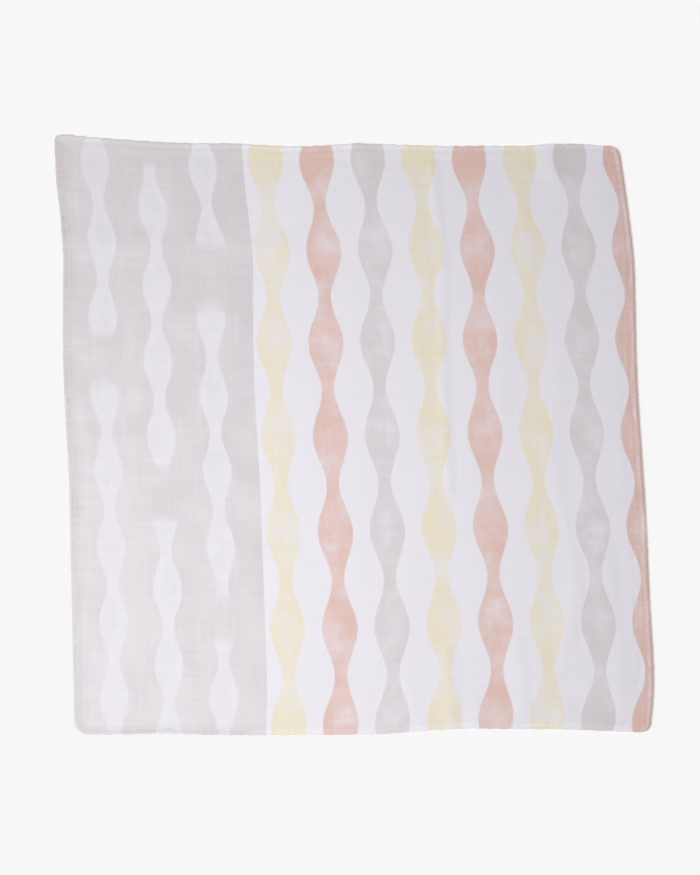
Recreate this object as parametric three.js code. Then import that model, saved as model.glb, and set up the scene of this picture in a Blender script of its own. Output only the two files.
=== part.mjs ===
import * as THREE from 'three';

// A square of thin printed cotton, hemmed on all four sides and spread out on a flat surface.
// Millimetres, +Z up, +X to the right and +Y to the far edge. The origin is on the surface,
// under the middle of the outline. A place on the cloth is given as across, from its left
// edge, and down, from its far edge.

// Driving dimensions of the cloth
const CLOTH_WIDTH = 340;
const CLOTH_LENGTH = 350;
const SHEET_THICKNESS = 1.0;
const HEM_WIDTH = 4.4;
const HEM_THICKNESS = 1.7;

// The hem's two slopes: at its folded edge, and where it thins to the single cloth
const RIM_INSET = 0.6;
const RIM_FACE = 0.7;
const HEM_STEP = 1.0;

// The small label, whose end is caught under the left hem
const LABEL_WIDTH = 8.6;
const LABEL_LENGTH = 13.2;
const LABEL_THICKNESS = 0.4;
const LABEL_DOWN = 315;
const CLEARANCE = 0.3;
const LABEL_ACROSS = HEM_WIDTH + CLEARANCE + LABEL_WIDTH / 2;

// The level patch of cloth over the label reaches a little past it, then ramps down
const PATCH_MARGIN = 0.6;
const LABEL_RAMP = 3.2;

// How closely the surface is divided: over the field, inside the corners, and across the
// long crease, whose lines are counted from its spine
const FIELD_PITCH = 9.2;
const LEAST_STEP = 2.4;
const CORNER_LINES = [6.5, 9.5];
const CREASE_LINES = [-5.5, -3, -1, 1, 3, 5.5];

// How far each corner was tugged from that of a true rectangle, and how round its hem is
const CORNERS = {
  farLeft: { right: -6.3, far: 2.1, radius: 3.1 },
  farRight: { right: -12.2, far: -4.6, radius: 5.4 },
  nearLeft: { right: 5.6, far: -2.0, radius: 8.5 },
  nearRight: { right: 5.9, far: -1.2, radius: 5.5 },
};

// How far each edge bows out of the straight line between its corners, along the edge
const EDGE_BOWS = {
  far: [
    { at: 0, out: 0 }, { at: 7, out: 0.6 }, { at: 16, out: -0.2 }, { at: 28, out: -1 },
    { at: 75, out: -3 }, { at: 110, out: -2.8 }, { at: 122, out: -3.3 }, { at: 146, out: -3.7 },
    { at: 181, out: -1.4 }, { at: 216, out: -1.5 }, { at: 238, out: -1.6 }, { at: 256, out: -1.1 },
    { at: 284, out: -0.5 }, { at: 299, out: 0.5 }, { at: 312, out: 1.2 }, { at: 340, out: 0 },
  ],
  near: [
    { at: 0, out: 0 }, { at: 18, out: 0.4 }, { at: 50, out: -0.2 }, { at: 86, out: 0.8 },
    { at: 156, out: 0.8 }, { at: 180, out: 0.5 }, { at: 204, out: -1 }, { at: 227, out: -2.6 },
    { at: 263, out: -2.2 }, { at: 286, out: -2.1 }, { at: 298, out: -1.6 }, { at: 340, out: 0 },
  ],
  left: [
    { at: 0, out: 0.1 }, { at: 30, out: -0.4 }, { at: 42, out: -1.5 }, { at: 68, out: -2.9 },
    { at: 97, out: -1.8 }, { at: 121, out: -1 }, { at: 145, out: -0.7 }, { at: 205, out: -1.8 },
    { at: 240, out: -1.4 }, { at: 286, out: -0.9 }, { at: 332, out: -0.3 }, { at: 350, out: 0 },
  ],
  right: [
    { at: 0, out: 0 }, { at: 20, out: 1.9 }, { at: 44, out: 3.9 }, { at: 68, out: 5.3 },
    { at: 92, out: 4.8 }, { at: 127, out: 3.7 }, { at: 151, out: 3.5 }, { at: 175, out: 3.8 },
    { at: 223, out: 4.4 }, { at: 270, out: 4.1 }, { at: 318, out: 4 }, { at: 332, out: 2.8 },
    { at: 350, out: 0 },
  ],
};

// Soft folds left in the cloth: the line each runs along, its height, and its reach to each side
const SOFT_FOLDS = [
  { name: 'long crease', from: [226, 13], to: [224, 207], height: 0.9, reach: 5.5 },
  { name: 'cross crease', from: [-6, 62], to: [132, 61], height: 0.9, reach: 14 },
  { name: 'right swell', from: [294, 122], to: [287, 176], height: 0.6, reach: 11 },
  { name: 'right edge swell', from: [313, 244], to: [321, 330], height: 0.7, reach: 11 },
  { name: 'near ripple 1', from: [219, 306], to: [223, 352], height: 0.9, reach: 9 },
  { name: 'near ripple 2', from: [260, 298], to: [264, 340], height: 0.7, reach: 9 },
  { name: 'near ripple 3', from: [296, 266], to: [288, 302], height: 0.9, reach: 10 },
  { name: 'far pucker 1', from: [183, -4], to: [184, 12], height: 0.9, reach: 10 },
  { name: 'far pucker 2', from: [297, -4], to: [298, 16], height: 1.2, reach: 11 },
  { name: 'near pucker 1', from: [238, 354], to: [236, 338], height: 0.8, reach: 9 },
  { name: 'near pucker 2', from: [290, 354], to: [289, 336], height: 0.8, reach: 9 },
  { name: 'left corner lift', from: [-2, 354], to: [12, 338], height: 0.7, reach: 8 },
];

// A smooth run through the rows of one edge's table, as a function of the place along the edge.
function bowAlong(rows) {
  const places = rows.map((row) => row.at);
  const bows = rows.map((row) => row.out);
  const run = new THREE.CubicInterpolant(places, bows, 1);
  return (at) => run.evaluate(at)[0];
}

const BOW = {
  far: bowAlong(EDGE_BOWS.far),
  near: bowAlong(EDGE_BOWS.near),
  left: bowAlong(EDGE_BOWS.left),
  right: bowAlong(EDGE_BOWS.right),
};

function cornerPoint(name, side, end) {
  const tug = CORNERS[name];
  return new THREE.Vector2(side * CLOTH_WIDTH / 2 + tug.right, end * CLOTH_LENGTH / 2 + tug.far);
}

const FAR_LEFT = cornerPoint('farLeft', -1, 1);
const FAR_RIGHT = cornerPoint('farRight', 1, 1);
const NEAR_LEFT = cornerPoint('nearLeft', -1, -1);
const NEAR_RIGHT = cornerPoint('nearRight', 1, -1);

// Draws a place near a square corner in to a round one: each square about the arc's centre
// becomes the circle that fits inside it.
function roundedCorner(across, down) {
  const left = across < CLOTH_WIDTH / 2;
  const far = down < CLOTH_LENGTH / 2;
  const { radius } = CORNERS[(far ? 'far' : 'near') + (left ? 'Left' : 'Right')];
  const fromSide = left ? across : CLOTH_WIDTH - across;
  const fromEnd = far ? down : CLOTH_LENGTH - down;
  const beyondSide = radius - fromSide;
  const beyondEnd = radius - fromEnd;
  if (beyondSide <= 0 || beyondEnd <= 0) {
    return [across, down];
  }
  const shrink = Math.max(beyondSide, beyondEnd) / Math.hypot(beyondSide, beyondEnd);
  const roundSide = radius - beyondSide * shrink;
  const roundEnd = radius - beyondEnd * shrink;
  return [left ? roundSide : CLOTH_WIDTH - roundSide, far ? roundEnd : CLOTH_LENGTH - roundEnd];
}

// Where a place on the cloth lies in plan: the patch between the four bowed edges.
function planPoint(flatAcross, flatDown) {
  const [across, down] = roundedCorner(flatAcross, flatDown);
  const s = across / CLOTH_WIDTH;
  const t = down / CLOTH_LENGTH;
  const farStraight = new THREE.Vector2().lerpVectors(FAR_LEFT, FAR_RIGHT, s);
  const nearStraight = new THREE.Vector2().lerpVectors(NEAR_LEFT, NEAR_RIGHT, s);
  const place = new THREE.Vector2().lerpVectors(farStraight, nearStraight, t);
  place.x += s * BOW.right(down) - (1 - s) * BOW.left(down);
  place.y += (1 - t) * BOW.far(across) - t * BOW.near(across);
  return place;
}

// A rise from 0 to 1 as a distance falls from the reach to 0, level at both ends.
function softRise(distance, reach) {
  const share = Math.min(distance / reach, 1);
  return (1 + Math.cos(Math.PI * share)) / 2;
}

function foldRise(fold, across, down) {
  const spine = new THREE.Line3(new THREE.Vector3(...fold.from, 0), new THREE.Vector3(...fold.to, 0));
  const place = new THREE.Vector3(across, down, 0);
  const nearest = spine.closestPointToPoint(place, true, new THREE.Vector3());
  return fold.height * softRise(place.distanceTo(nearest), fold.reach);
}

// The cloth lies over the label as a low level patch, with a ramp all round it.
function labelRise(across, down) {
  const beyondSide = Math.abs(across - LABEL_ACROSS) - LABEL_WIDTH / 2 - PATCH_MARGIN;
  const beyondEnd = Math.abs(down - LABEL_DOWN) - LABEL_LENGTH / 2 - PATCH_MARGIN;
  const beyond = Math.hypot(Math.max(beyondSide, 0), Math.max(beyondEnd, 0));
  return (LABEL_THICKNESS + CLEARANCE) * softRise(beyond, LABEL_RAMP);
}

// Height of the cloth's underside over the surface it lies on.
function undersideHeight(across, down) {
  const folds = SOFT_FOLDS.map((fold) => foldRise(fold, across, down));
  return Math.max(labelRise(across, down), ...folds);
}

function edgeDistance(across, down) {
  return Math.min(across, down, CLOTH_WIDTH - across, CLOTH_LENGTH - down);
}

// Height of the lower and the upper face at a place: single cloth in the field, three turned
// layers in the hem, and a blunt folded edge.
function faceHeights(across, down) {
  const inset = edgeDistance(across, down);
  const lift = undersideHeight(across, down);
  const toRim = THREE.MathUtils.clamp(inset / RIM_INSET, 0, 1);
  const pastHem = THREE.MathUtils.clamp((inset - HEM_WIDTH) / HEM_STEP, 0, 1);
  const rimSlope = (1 - toRim) * (HEM_THICKNESS - RIM_FACE) / 2;
  const thickness = THREE.MathUtils.lerp(HEM_THICKNESS, SHEET_THICKNESS, pastHem);
  return { lower: lift + rimSlope, upper: lift + thickness - rimSlope };
}

// Lines that divide one direction: along the hem, round the corners, at the features that
// need them, and evenly over the field between.
function divisions(length, features) {
  const border = [0, RIM_INSET, HEM_WIDTH, HEM_WIDTH + HEM_STEP, ...CORNER_LINES];
  const firm = [...border, ...border.map((line) => length - line), ...features];
  const fieldStart = CORNER_LINES.at(-1);
  const steps = Math.round((length - 2 * fieldStart) / FIELD_PITCH);
  const pitch = (length - 2 * fieldStart) / steps;
  const even = Array.from({ length: steps - 1 }, (_, k) => fieldStart + (k + 1) * pitch);
  const clear = even.filter((line) => firm.every((other) => Math.abs(other - line) > LEAST_STEP));
  return [...new Set([...firm, ...clear])].sort((a, b) => a - b);
}

function clothGeometry() {
  const crease = SOFT_FOLDS.find((fold) => fold.name === 'long crease');
  const spine = (crease.from[0] + crease.to[0]) / 2;
  const creaseLines = CREASE_LINES.map((line) => spine + line);
  const labelSide = LABEL_ACROSS + LABEL_WIDTH / 2 + PATCH_MARGIN;
  const labelFar = LABEL_DOWN - LABEL_LENGTH / 2 - PATCH_MARGIN;
  const labelNear = LABEL_DOWN + LABEL_LENGTH / 2 + PATCH_MARGIN;
  const columns = divisions(CLOTH_WIDTH, [labelSide, labelSide + LABEL_RAMP, ...creaseLines]);
  const rows = divisions(CLOTH_LENGTH, [
    labelFar - LABEL_RAMP, labelFar, labelNear, labelNear + LABEL_RAMP,
  ]);
  return closedSheet(columns, rows);
}

// A closed sheet over a grid of lines: an upper and a lower face of the same points, joined
// by a wall all round.
function closedSheet(columns, rows) {
  const wide = columns.length;
  const long = rows.length;
  const upper = [];
  const lower = [];
  for (const down of rows) {
    for (const across of columns) {
      const { x, y } = planPoint(across, down);
      const heights = faceHeights(across, down);
      upper.push(x, y, heights.upper);
      lower.push(x, y, heights.lower);
    }
  }
  const under = wide * long;
  const triangles = [];
  for (let row = 0; row + 1 < long; row += 1) {
    for (let column = 0; column + 1 < wide; column += 1) {
      const a = row * wide + column;
      const [b, c, d] = [a + 1, a + wide, a + wide + 1];
      triangles.push(a, c, b, b, c, d);
      triangles.push(under + a, under + b, under + c, under + b, under + d, under + c);
    }
  }
  const around = rimLoop(wide, long);
  around.forEach((point, k) => {
    const next = around[(k + 1) % around.length];
    triangles.push(point, under + point, next, next, under + point, under + next);
  });
  const geometry = new THREE.BufferGeometry();
  geometry.setAttribute('position', new THREE.Float32BufferAttribute([...upper, ...lower], 3));
  geometry.setIndex(triangles);
  geometry.computeVertexNormals();
  return geometry;
}

// The grid's outer points in order, anticlockwise seen from above.
function rimLoop(wide, long) {
  const leftSide = Array.from({ length: long - 1 }, (_, k) => k * wide);
  const nearSide = Array.from({ length: wide - 1 }, (_, k) => (long - 1) * wide + k);
  const rightSide = Array.from({ length: long - 1 }, (_, k) => (long - k) * wide - 1);
  const farSide = Array.from({ length: wide - 1 }, (_, k) => wide - 1 - k);
  return [...leftSide, ...nearSide, ...rightSide, ...farSide];
}

function clothMesh() {
  const material = new THREE.MeshStandardMaterial({ color: 0xe0dee6, roughness: 0.95, metalness: 0 });
  const mesh = new THREE.Mesh(clothGeometry(), material);
  mesh.name = 'cloth';
  return mesh;
}

// The label lies flat under the cloth, square to the leaning left edge.
function labelMesh() {
  const material = new THREE.MeshStandardMaterial({ color: 0xeeeef0, roughness: 0.8, metalness: 0 });
  const geometry = new THREE.BoxGeometry(LABEL_WIDTH, LABEL_LENGTH, LABEL_THICKNESS);
  const mesh = new THREE.Mesh(geometry, material);
  const middle = planPoint(LABEL_ACROSS, LABEL_DOWN);
  const lean = planPoint(LABEL_ACROSS, LABEL_DOWN - LABEL_LENGTH).sub(middle);
  mesh.position.set(middle.x, middle.y, LABEL_THICKNESS / 2);
  mesh.rotation.z = lean.angle() - Math.PI / 2;
  mesh.name = 'label';
  return mesh;
}

const handkerchief = new THREE.Group();
handkerchief.add(clothMesh());
handkerchief.add(labelMesh());

// The outline's middle is set over the origin.
const outline = new THREE.Box3().setFromObject(handkerchief);
const middle = outline.getCenter(new THREE.Vector3());
handkerchief.position.set(-middle.x, -middle.y, 0);

export default handkerchief;
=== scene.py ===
# %% [markdown]
# # A spread gauze handkerchief
#
# The object is one square of thin printed cotton, hemmed on all four sides and laid out flat
# with its edges a little uneven. Under the left hem hangs a small bare label.
#
# The frame gives the real place of the two solids. Everything made here lies over them: the
# cloth as a thin sheet with a folded hem, the hem's stitches, the label, and their finishes.

from functools import partialmethod

import bpy
import numpy as np
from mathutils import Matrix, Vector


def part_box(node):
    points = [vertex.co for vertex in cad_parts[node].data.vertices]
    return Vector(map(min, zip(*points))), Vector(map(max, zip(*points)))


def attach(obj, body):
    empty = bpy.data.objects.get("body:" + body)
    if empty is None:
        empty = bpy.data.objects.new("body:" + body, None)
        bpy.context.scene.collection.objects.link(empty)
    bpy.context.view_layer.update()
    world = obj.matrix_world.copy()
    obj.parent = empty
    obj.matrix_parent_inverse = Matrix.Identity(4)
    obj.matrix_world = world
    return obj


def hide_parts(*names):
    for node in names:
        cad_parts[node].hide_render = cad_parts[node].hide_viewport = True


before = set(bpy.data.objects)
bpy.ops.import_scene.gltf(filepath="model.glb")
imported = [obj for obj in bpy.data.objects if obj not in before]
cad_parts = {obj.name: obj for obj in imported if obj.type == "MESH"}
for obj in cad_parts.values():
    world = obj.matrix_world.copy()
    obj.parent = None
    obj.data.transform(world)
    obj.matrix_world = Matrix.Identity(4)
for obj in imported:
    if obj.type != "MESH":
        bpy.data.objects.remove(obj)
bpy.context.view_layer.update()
cloth_low, cloth_high = (np.array(corner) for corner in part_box("cloth"))

# %% [markdown]
# ## The cut and how it lies
#
# A place on the cloth is told by two lengths, as a maker would mark it with a tape: `across`
# from the left edge and `down` from the far edge. Where it lies on the table is another matter,
# because each corner was tugged a little and each edge bows. These tables hold those tugs and
# bows, and the soft folds left in the cloth.

# %% Sizes of the cloth, in millimetres
MM = 0.001
TURN = 2 * np.pi
CLOTH_WIDTH = 340.0
CLOTH_LENGTH = 350.0
HEM_WIDTH = 4.4

CORNERS = {
    "far left": {"right": -6.3, "far": 2.1, "radius": 3.1},
    "far right": {"right": -12.2, "far": -4.6, "radius": 5.4},
    "near left": {"right": 5.6, "far": -2.0, "radius": 8.5},
    "near right": {"right": 5.9, "far": -1.2, "radius": 5.5},
}

# How far each edge bows out of the straight line between its corners: (along the edge, out)
EDGE_BOWS = {
    "far": [
        (0, 0), (7, 0.6), (16, -0.2), (28, -1.0), (75, -3.0), (110, -2.8), (122, -3.3),
        (146, -3.7), (181, -1.4), (216, -1.5), (238, -1.6), (256, -1.1), (284, -0.5), (299, 0.5),
        (312, 1.2), (340, 0),
    ],
    "near": [
        (0, 0), (18, 0.4), (50, -0.2), (86, 0.8), (156, 0.8), (180, 0.5), (204, -1.0),
        (227, -2.6), (263, -2.2), (286, -2.1), (298, -1.6), (340, 0),
    ],
    "left": [
        (0, 0.1), (30, -0.4), (42, -1.5), (68, -2.9), (97, -1.8), (121, -1.0), (145, -0.7),
        (205, -1.8), (240, -1.4), (286, -0.9), (332, -0.3), (350, 0),
    ],
    "right": [
        (0, 0), (20, 1.9), (44, 3.9), (68, 5.3), (92, 4.8), (127, 3.7), (151, 3.5), (175, 3.8),
        (223, 4.4), (270, 4.1), (318, 4.0), (332, 2.8), (350, 0),
    ],
}

# %% The folds left in the cloth, in millimetres
# Each runs from one (across, down) to another, with its height and its reach to each side
MAIN_FOLDS = {
    "long crease": ((226, 13), (224, 207), 0.9, 5.5),
    "cross crease": ((-6, 62), (132, 61), 0.9, 14),
    "right swell": ((294, 122), (287, 176), 0.6, 11),
    "edge swell": ((313, 244), (321, 330), 0.7, 11),
    "near ripple 1": ((219, 306), (223, 352), 0.9, 9),
    "near ripple 2": ((260, 298), (264, 340), 0.7, 9),
    "near ripple 3": ((296, 266), (288, 302), 0.9, 10),
    "far pucker 1": ((183, -4), (184, 12), 0.9, 10),
    "far pucker 2": ((297, -4), (298, 16), 1.2, 11),
    "near pucker 1": ((238, 354), (236, 338), 0.8, 9),
    "near pucker 2": ((290, 354), (289, 336), 0.8, 9),
    "corner lift": ((-2, 354), (12, 338), 0.7, 8),
}

# Slighter creases, which only a thin sheet can hold
FINE_CREASES = {
    "short slant": ((124.8, 191), (129.5, 212), 0.5, 3.5),
    "beside the long crease": ((214, 22), (216, 96), 0.3, 6),
    "right upper 1": ((276, 26), (279, 92), 0.3, 7),
    "right upper 2": ((262, 112), (257, 186), 0.3, 7),
    "right middle": ((284, 176), (297, 262), 0.4, 8),
    "right low slant": ((240, 296), (262, 264), 0.35, 7),
    "near right slant": ((272, 330), (302, 300), 0.4, 7),
    "near middle": ((196, 318), (201, 346), 0.35, 6),
    "left upper": ((3, 76), (14, 128), 0.35, 7),
    "left far corner": ((8, 14), (26, 30), 0.35, 7),
    "near left corner": ((7, 334), (19, 345), 0.4, 5),
    "band middle": ((44, 150), (98, 146), 0.22, 8),
    "band low": ((20, 262), (70, 268), 0.22, 8),
    "far middle": ((146, -2), (147, 22), 0.4, 6),
}

# %% [markdown]
# ## The outline
#
# The edge is a straight cut that was sewn and then laid down by hand, so it wanders by a
# millimetre or two. Drawn as a curve, it wouldn't say where the print and the stitches go. Here
# the whole cloth is one smooth map: every place (across, down) goes to a place on the table, so
# print, hem and stitches all follow.

# %% From the cloth to the table
END_WAVER = 0.15
SIDE_WAVER = 0.06
WAVER_STARTS = {"left": 1.9, "right": 0.4, "far": 3.3, "near": 5.1}
WAVER_PITCH = 9.3
WAVER_DRIFT = 1.6
WAVER_DRIFT_PITCH = 47.0
WAVER_REACH = 3.0
SECOND_WAVER = 0.6
SECOND_PITCH = 0.61 * WAVER_PITCH


def smooth_run(rows, at):
    """Values at `at` of a smooth curve through the rows (place, value).

    Between two rows it is the cubic with both values and a slope at each. The slope at a row
    is the mean of the straight slopes on its two sides, and at an end the one straight slope.
    """
    place, value = np.array(rows, float).T
    straight = np.diff(value) / np.diff(place)
    slope = np.concatenate([straight[:1], (straight[1:] + straight[:-1]) / 2, straight[-1:]])
    row = np.clip(np.searchsorted(place, at, side="right") - 1, 0, len(place) - 2)
    span = place[row + 1] - place[row]
    p = (at - place[row]) / span
    return (
        value[row] * (2 * p**3 - 3 * p**2 + 1)
        + slope[row] * span * (p**3 - 2 * p**2 + p)
        + value[row + 1] * (3 * p**2 - 2 * p**3)
        + slope[row + 1] * span * (p**3 - p**2)
    )


def rounded_corners(across, down):
    """Places near a square corner drawn in to the round one.

    Each square about the centre of the corner's arc becomes the circle that fits inside it:
    both distances shrink by the larger one over their hypotenuse.
    """
    place = np.stack([across, down])
    size = np.array([CLOTH_WIDTH, CLOTH_LENGTH]).reshape(2, *[1] * across.ndim)
    for name, corner in CORNERS.items():
        mirrored = np.array(["right" in name.split()[1], "near" in name]).reshape(size.shape)
        inset = np.where(mirrored, size - place, place)
        beyond = corner["radius"] - inset
        inside = (beyond > 0).all(axis=0)
        shrink = beyond.max(axis=0) / np.hypot(*np.where(inside, beyond, 1))
        drawn_in = corner["radius"] - beyond * shrink
        place = np.where(inside, np.where(mirrored, size - drawn_in, drawn_in), place)
    return place


def edge_insets(across, down):
    """How far in a place lies from the left, right, far and near edges."""
    return across, CLOTH_WIDTH - across, down, CLOTH_LENGTH - down


def waver(side, along, inset, height):
    """The small in and out of a sewn edge, in millimetres: two sines that fade inwards.

    Their phases drift along the edge, so that no two ripples are alike.
    """
    start = WAVER_STARTS[side]
    drift = WAVER_DRIFT * np.sin(TURN * along / WAVER_DRIFT_PITCH + start)
    ripple = np.sin(TURN * along / WAVER_PITCH + drift + start)
    ripple = ripple + SECOND_WAVER * np.sin(TURN * along / SECOND_PITCH - 2 * drift)
    return height * ripple * np.exp(-np.maximum(inset, 0) / WAVER_REACH)


def tugged_place(across, down):
    """x and y of a place on the cloth, in millimetres, about the middle of the untugged square.

    A place is carried by the four corners' tugs and the four edges' bows, each weighted by how
    near that corner or edge is.
    """
    across, down = rounded_corners(*np.broadcast_arrays(np.asarray(across, float), down))
    s, t = across / CLOTH_WIDTH, down / CLOTH_LENGTH
    x = (s - 0.5) * CLOTH_WIDTH
    y = (0.5 - t) * CLOTH_LENGTH
    for name, corner in CORNERS.items():
        nearness = ((1 - s) if "left" in name else s) * ((1 - t) if "far" in name else t)
        x = x + nearness * corner["right"]
        y = y + nearness * corner["far"]
    x = x + s * smooth_run(EDGE_BOWS["right"], down) - (1 - s) * smooth_run(EDGE_BOWS["left"], down)
    y = y + (1 - t) * smooth_run(EDGE_BOWS["far"], across) - t * smooth_run(EDGE_BOWS["near"], across)
    left, right, far, near = edge_insets(across, down)
    x = x + waver("right", down, right, SIDE_WAVER) - waver("left", down, left, SIDE_WAVER)
    y = y + waver("far", across, far, END_WAVER) - waver("near", across, near, END_WAVER)
    return x, y


# %% The outline set over the solid
RIM_SAMPLES = 1400
share = np.linspace(0, 1, RIM_SAMPLES)
rim_across = np.concatenate([share, share, 0 * share, 0 * share + 1]) * CLOTH_WIDTH
rim_down = np.concatenate([0 * share, 0 * share + 1, share, share]) * CLOTH_LENGTH
rim_xy = np.stack(tugged_place(rim_across, rim_down), axis=-1)
rim_middle = (rim_xy.min(axis=0) + rim_xy.max(axis=0)) / 2
solid_middle = (cloth_low + cloth_high)[:2] / 2 / MM


def table_place(across, down):
    """x and y in millimetres, with the outline's middle over the middle of the cloth's solid."""
    x, y = tugged_place(across, down)
    return x - rim_middle[0] + solid_middle[0], y - rim_middle[1] + solid_middle[1]


# %% [markdown]
# ## Relief
#
# Gauze this thin lies almost flat. What shows is a few soft creases where it was folded in a
# drawer, and small puckers where the sewing drew the hem in. A cloth simulation would make
# creases in places of its own, so these are placed one by one: each is a rounded ridge along a
# straight line, and the highest one at a place wins, as when cloth stands up off a table.

# %% Heights of the creases
# The pitch of each broad wave across and down, its phase, and its height
WAVES = [
    (96.0, 240.0, 0.4, 0.07), (-61.0, 133.0, 2.1, 0.06), (173.0, -88.0, 4.0, 0.06),
    (37.0, 410.0, 1.3, 0.04),
]
PUCKER_PITCH = 7.3
PUCKER_DRIFT_PITCH = 41.0
PUCKER_DRIFT = 1.7
PUCKER_HEIGHT = 0.22
PUCKER_REACH = 5.0
CURL = 0.8
CURL_REACH = 3.5


def soft_rise(distance, reach):
    """(1 + cos(pi distance / reach)) / 2 within the reach, and 0 past it."""
    return (1 + np.cos(np.pi * np.clip(distance / reach, 0, 1))) / 2


def ridge(across, down, start, end, height, reach):
    """Height times the soft rise of the distance to the line from start to end."""
    start, run = np.array(start, float), np.subtract(end, start).astype(float)
    off_across, off_down = across - start[0], down - start[1]
    along = np.clip((off_across * run[0] + off_down * run[1]) / (run @ run), 0, 1)
    distance = np.hypot(off_across - along * run[0], off_down - along * run[1])
    return height * soft_rise(distance, reach)


def puckers(across, down):
    """Small waves that run in from each edge and fade.

    Each is half of 1 + sin of the place along the edge over the pitch, whose phase itself
    drifts, times exp(-inset / reach).
    """
    total = 0
    for number, inset in enumerate(edge_insets(across, down)):
        along = down if number < 2 else across
        drift = PUCKER_DRIFT * np.sin(TURN * along / PUCKER_DRIFT_PITCH + number)
        wave = (1 + np.sin(TURN * along / PUCKER_PITCH + drift)) / 2
        total = total + PUCKER_HEIGHT * wave * np.exp(-np.maximum(inset, 0) / PUCKER_REACH)
    return total


def broad_waves(across, down):
    """The sum of a few long low sine waves, each lifted so that it never dips under the table."""
    return sum(
        height * (1 + np.sin(TURN * (across / pitch_across + down / pitch_down) + phase))
        for pitch_across, pitch_down, phase, height in WAVES
    )


# %% [markdown]
# ## The hem and the label's place
#
# The edge is turned twice to the back and sewn down, so the hem is three layers: a rounded
# folded edge, a slight trough along the stitches, and on the back a flap that ends in a step.
# Both faces follow from the distance to the edge alone, so that one formula serves all four
# sides and runs round the corners.

# %% Sizes of the hem
GAUZE = 0.42
HEM_STACK = 1.02
RIM_RADIUS = 0.5
ROLL_RADIUS = 1.2
SEAM_INSET = 2.8
SEAM_WIDTH = 0.5
SEAM_SINK = 0.07
SETTLE = 3.8
CORNER_BULK = 0.4
CORNER_REACH = 5.5
FLAP_FACE = 0.05

LABEL_ACROSS = 9.0
LABEL_DOWN = 315.0
LABEL_WIDTH = 8.6
LABEL_LENGTH = 13.2
LABEL_THICKNESS = 0.24
LABEL_LIFT = 1.4 * LABEL_THICKNESS
LABEL_RAMP = 3.2


def bell(distance, width):
    """exp(-(distance / width)^2)."""
    return np.exp(-((distance / width) ** 2))


def quarter_round(inset, reach):
    """0 at the edge, rising as a quarter ellipse to 1 at the reach."""
    return np.sqrt(1 - (1 - np.clip(inset / reach, 0, 1)) ** 2)


def smooth_step(share):
    """0 below 0, 1 above 1, and 3 s^2 - 2 s^3 between."""
    s = np.clip(share, 0, 1)
    return s * s * (3 - 2 * s)


def label_rise(across, down):
    """The lift of the cloth over the label: level above it, with a soft ramp all round."""
    beyond_side = np.maximum(np.abs(across - LABEL_ACROSS) - LABEL_WIDTH / 2, 0)
    beyond_end = np.maximum(np.abs(down - LABEL_DOWN) - LABEL_LENGTH / 2, 0)
    return LABEL_LIFT * soft_rise(np.hypot(beyond_side, beyond_end), LABEL_RAMP)


def lift(across, down):
    """Height of the cloth's underside over the table: the highest fold, plus the small waves.

    The right edge curls up by the curl's height times exp(-inset / reach).
    """
    curl = CURL * np.exp(-np.maximum(CLOTH_WIDTH - across, 0) / CURL_REACH)
    ridges = [ridge(across, down, *fold) for fold in (MAIN_FOLDS | FINE_CREASES).values()]
    highest = np.maximum.reduce([*ridges, label_rise(across, down)])
    return highest + broad_waves(across, down) + puckers(across, down) + curl


def cloth_faces(across, down):
    """Heights of the front and back faces over the table, in millimetres.

    In the hem the front is the stack's height less a trough along the seam, and past the hem
    it falls to the single layer. Towards the edge both faces close in on the stack's middle,
    each as a quarter round of its own reach, the front's the wider.
    """
    inset = np.maximum(np.minimum.reduce(edge_insets(across, down)), 0)
    from_corner = np.hypot(
        np.minimum(across, CLOTH_WIDTH - across), np.minimum(down, CLOTH_LENGTH - down)
    )
    stack = HEM_STACK + CORNER_BULK * soft_rise(from_corner, CORNER_REACH)
    trough = SEAM_SINK * bell(inset - SEAM_INSET, SEAM_WIDTH)
    front = stack + (GAUZE - stack) * smooth_step((inset - HEM_WIDTH) / SETTLE) - trough
    front = stack / 2 + (front - stack / 2) * quarter_round(inset, ROLL_RADIUS)
    flap = stack / 2 * (1 - quarter_round(inset, RIM_RADIUS)) + trough
    back = np.where(inset < HEM_WIDTH + FLAP_FACE / 2, flap, front - GAUZE)
    raised = lift(across, down)
    return front + raised, back + raised


# %% [markdown]
# ## The sheet
#
# The mesh is a grid over the cloth. Its lines crowd together in the hem, where the section
# turns quickly. The front and the back are two copies of the grid that share their outer
# points, so the sheet is closed. The map called `cloth` holds each corner's (across, down) as
# shares of the width and length. On the back of the hem it runs past the edge, because the
# flap there shows the printed face.

# %% Mesh helpers
def grid_quads(rows, columns):
    """Corner numbers of each cell of a grid, anticlockwise with rows going down the page."""
    first = np.arange(rows - 1)[:, None] * columns + np.arange(columns - 1)
    quads = np.stack([first, first + columns, first + columns + 1, first + 1], axis=-1)
    return quads.reshape(-1, 4)


def add_object(name, data):
    """A new object of the data, in the scene."""
    made = bpy.data.objects.new(name, data)
    bpy.context.scene.collection.objects.link(made)
    return made


def make_piece(name, points, faces, corner_uv, materials, face_material=None, sharp=None):
    """A smooth mesh object at the origin, from arrays of points in millimetres, faces and UVs."""
    mesh = bpy.data.meshes.new(name)
    mesh.from_pydata(points * MM, [], faces)
    mesh.uv_layers.new(name="cloth").data.foreach_set("uv", corner_uv.astype(np.float32).ravel())
    for material in materials:
        mesh.materials.append(material)
    if face_material is not None:
        mesh.polygons.foreach_set("material_index", face_material.astype(np.int32))
    mesh.shade_smooth()
    if sharp is not None:
        mesh.set_sharp_from_angle(angle=sharp)
    mesh.validate()
    return add_object(name, mesh)


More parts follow.
